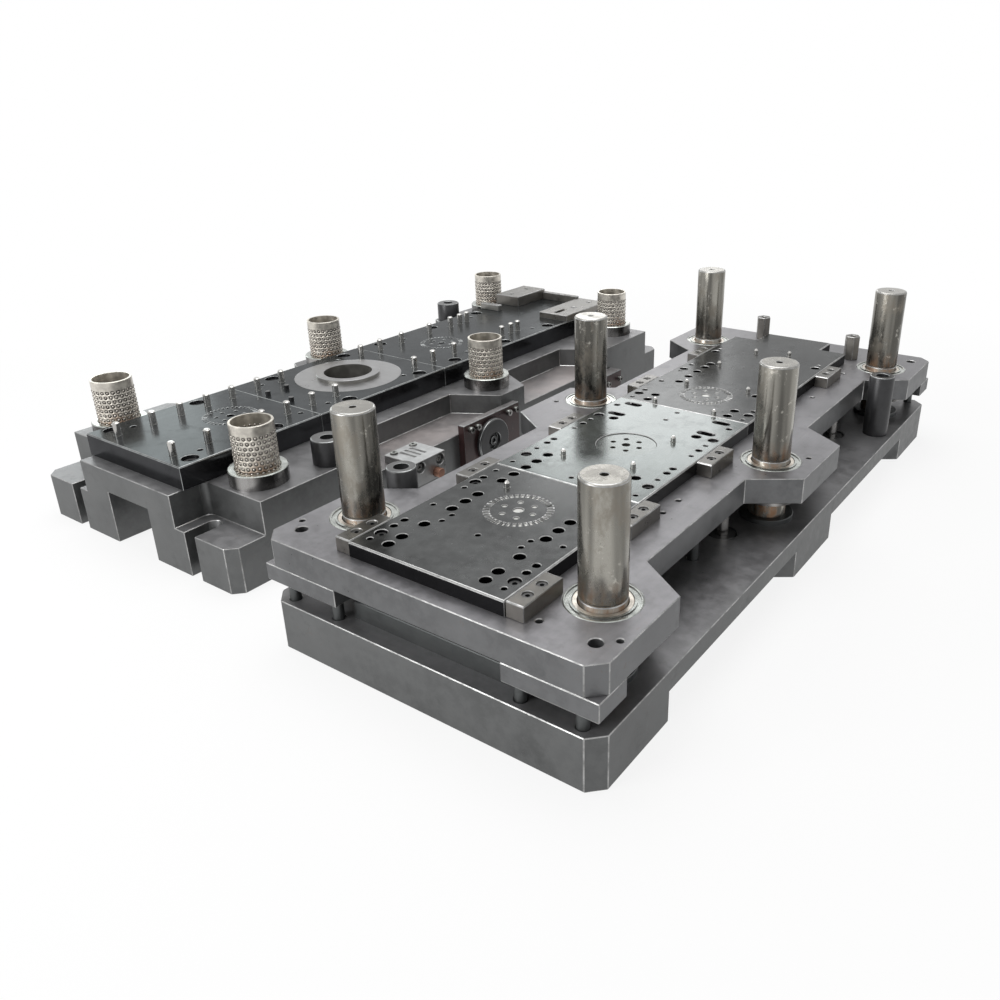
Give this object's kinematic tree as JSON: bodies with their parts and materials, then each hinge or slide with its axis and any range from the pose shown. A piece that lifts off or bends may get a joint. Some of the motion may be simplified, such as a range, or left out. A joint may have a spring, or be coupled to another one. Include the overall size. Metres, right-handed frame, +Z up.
{
  "type": "progressive stamping die",
  "caption": "Opened progressive die for motor laminations: lower half with die plates, ball cages and lifter pins; upper half on its back with sprung stripper and guide posts.",
  "frame": {"origin": "centre of the bounding box's base, on the floor", "axes": "+Y along the strip direction, away from the viewer of the near ends; +X from the lower half to the upper half; +Z up"},
  "size_m": [1.222, 1.358, 0.3335],
  "materials": {
    "shoe_steel": "ground, satin",
    "die_steel": "finely ground, dark",
    "insert_steel": "finely ground",
    "holder_steel": "ground, satin",
    "ring_steel": "ground, bright",
    "post_chrome": "polished, worn",
    "bush_steel": "ground",
    "cage_metal": "drawn, bright",
    "pin_steel": "polished",
    "punch_steel": "ground",
    "block_steel": "ground, warm",
    "black_steel": "black, satin",
    "maroon_plate": "dark red, matt",
    "screw_steel": "black oxide",
    "red_pin": "reddish, worn",
    "block_aluminium": "machined"
  },
  "bodies": {
    "die": {"lower_shoe": "shoe_steel", "die_plate_front": "die_steel", "die_plate_middle": "die_steel", "die_plate_rear": "die_steel", "blanking_ring": "ring_steel", "guide_bushes": "bush_steel", "feed_rail": "block_steel", "guide_block_left": "ring_steel", "guide_block_right": "block_steel", "end_bar": "block_steel", "lower_stops": "black_steel", "side_plate_near": "maroon_plate", "side_plate_far": "maroon_plate", "side_cover": "black_steel", "side_block": "block_aluminium", "side_screws": "bush_steel", "die_screws": "screw_steel", "upper_shoe": "shoe_steel", "guide_posts": "post_chrome", "post_collars": "block_steel", "punch_plate": "die_steel", "slot_punches": "punch_steel", "blanking_punch": "punch_steel", "pilots": "pin_steel", "gas_springs": "screw_steel", "upper_stops": "black_steel", "side_rod": "red_pin"},
    "stripper": {"stripper_holder": "holder_steel", "stripper_pads": "holder_steel", "insert_front": "die_steel", "insert_middle": "insert_steel", "insert_rear": "die_steel", "heel_blocks": "block_steel", "stripper_screws": "screw_steel", "stripper_bushes": "bush_steel", "stripper_bolts": "screw_steel", "spring_rods": "post_chrome", "hex_standoffs": "block_steel"},
    "upper_cages": {"stripper_cages": "cage_metal"},
    "cage_1": {"ball_cage_1": "cage_metal"},
    "cage_2": {"ball_cage_2": "cage_metal"},
    "cage_3": {"ball_cage_3": "cage_metal"},
    "cage_4": {"ball_cage_4": "cage_metal"},
    "cage_5": {"ball_cage_5": "cage_metal"},
    "cage_6": {"ball_cage_6": "cage_metal"},
    "lifters_1": {"lifter_pair_1": "pin_steel"},
    "lifters_2": {"lifter_pair_2": "pin_steel"},
    "lifters_3": {"lifter_pair_3": "pin_steel"},
    "lifters_4": {"lifter_pair_4": "pin_steel"},
    "lifters_5": {"lifter_pair_5": "pin_steel"},
    "lifters_6": {"lifter_pair_6": "pin_steel"},
    "lifters_7": {"lifter_pair_7": "pin_steel"},
    "lifters_8": {"lifter_pair_8": "pin_steel"},
    "lifters_9": {"lifter_pair_9": "pin_steel"},
    "lifters_10": {"lifter_pair_10": "pin_steel"},
    "lifters_11": {"lifter_pair_11": "pin_steel"},
    "lifters_12": {"lifter_pair_12": "pin_steel"},
    "lifters_13": {"lifter_pair_13": "pin_steel"},
    "lifters_14": {"lifter_pair_14": "pin_steel"}
  },
  "joints": [
    {"name": "stripper_slide", "type": "slide", "parent": "die", "child": "stripper", "axis": [0, 0, 1], "range_m": [-0.022, 0], "stiffness_N_per_m": 200000, "springref_m": 0.03},
    {"name": "upper_cage_slide", "type": "slide", "parent": "die", "child": "upper_cages", "axis": [0, 0, 1], "range_m": [-0.011, 0]},
    {"name": "cage_1_slide", "type": "slide", "parent": "die", "child": "cage_1", "axis": [0, 0, 1], "range_m": [-0.04, 0.02]},
    {"name": "cage_2_slide", "type": "slide", "parent": "die", "child": "cage_2", "axis": [0, 0, 1], "range_m": [-0.04, 0.02]},
    {"name": "cage_3_slide", "type": "slide", "parent": "die", "child": "cage_3", "axis": [0, 0, 1], "range_m": [-0.04, 0.02]},
    {"name": "cage_4_slide", "type": "slide", "parent": "die", "child": "cage_4", "axis": [0, 0, 1], "range_m": [-0.04, 0.02]},
    {"name": "cage_5_slide", "type": "slide", "parent": "die", "child": "cage_5", "axis": [0, 0, 1], "range_m": [-0.04, 0.02]},
    {"name": "cage_6_slide", "type": "slide", "parent": "die", "child": "cage_6", "axis": [0, 0, 1], "range_m": [-0.04, 0.02]},
    {"name": "lifter_1_slide", "type": "slide", "parent": "die", "child": "lifters_1", "axis": [0, 0, 1], "range_m": [-0.02, 0], "stiffness_N_per_m": 2000, "springref_m": 0.005},
    {"name": "lifter_2_slide", "type": "slide", "parent": "die", "child": "lifters_2", "axis": [0, 0, 1], "range_m": [-0.02, 0], "stiffness_N_per_m": 2000, "springref_m": 0.005},
    {"name": "lifter_3_slide", "type": "slide", "parent": "die", "child": "lifters_3", "axis": [0, 0, 1], "range_m": [-0.02, 0], "stiffness_N_per_m": 2000, "springref_m": 0.005},
    {"name": "lifter_4_slide", "type": "slide", "parent": "die", "child": "lifters_4", "axis": [0, 0, 1], "range_m": [-0.02, 0], "stiffness_N_per_m": 2000, "springref_m": 0.005},
    {"name": "lifter_5_slide", "type": "slide", "parent": "die", "child": "lifters_5", "axis": [0, 0, 1], "range_m": [-0.02, 0], "stiffness_N_per_m": 2000, "springref_m": 0.005},
    {"name": "lifter_6_slide", "type": "slide", "parent": "die", "child": "lifters_6", "axis": [0, 0, 1], "range_m": [-0.02, 0], "stiffness_N_per_m": 2000, "springref_m": 0.005},
    {"name": "lifter_7_slide", "type": "slide", "parent": "die", "child": "lifters_7", "axis": [0, 0, 1], "range_m": [-0.02, 0], "stiffness_N_per_m": 2000, "springref_m": 0.005},
    {"name": "lifter_8_slide", "type": "slide", "parent": "die", "child": "lifters_8", "axis": [0, 0, 1], "range_m": [-0.02, 0], "stiffness_N_per_m": 2000, "springref_m": 0.005},
    {"name": "lifter_9_slide", "type": "slide", "parent": "die", "child": "lifters_9", "axis": [0, 0, 1], "range_m": [-0.02, 0], "stiffness_N_per_m": 2000, "springref_m": 0.005},
    {"name": "lifter_10_slide", "type": "slide", "parent": "die", "child": "lifters_10", "axis": [0, 0, 1], "range_m": [-0.02, 0], "stiffness_N_per_m": 2000, "springref_m": 0.005},
    {"name": "lifter_11_slide", "type": "slide", "parent": "die", "child": "lifters_11", "axis": [0, 0, 1], "range_m": [-0.02, 0], "stiffness_N_per_m": 2000, "springref_m": 0.005},
    {"name": "lifter_12_slide", "type": "slide", "parent": "die", "child": "lifters_12", "axis": [0, 0, 1], "range_m": [-0.02, 0], "stiffness_N_per_m": 2000, "springref_m": 0.005},
    {"name": "lifter_13_slide", "type": "slide", "parent": "die", "child": "lifters_13", "axis": [0, 0, 1], "range_m": [-0.02, 0], "stiffness_N_per_m": 2000, "springref_m": 0.005},
    {"name": "lifter_14_slide", "type": "slide", "parent": "die", "child": "lifters_14", "axis": [0, 0, 1], "range_m": [-0.02, 0], "stiffness_N_per_m": 2000, "springref_m": 0.005}
  ],
  "couplings": [
    {"joint": "upper_cage_slide", "follows": "stripper_slide", "ratio": 0.5}
  ]
}
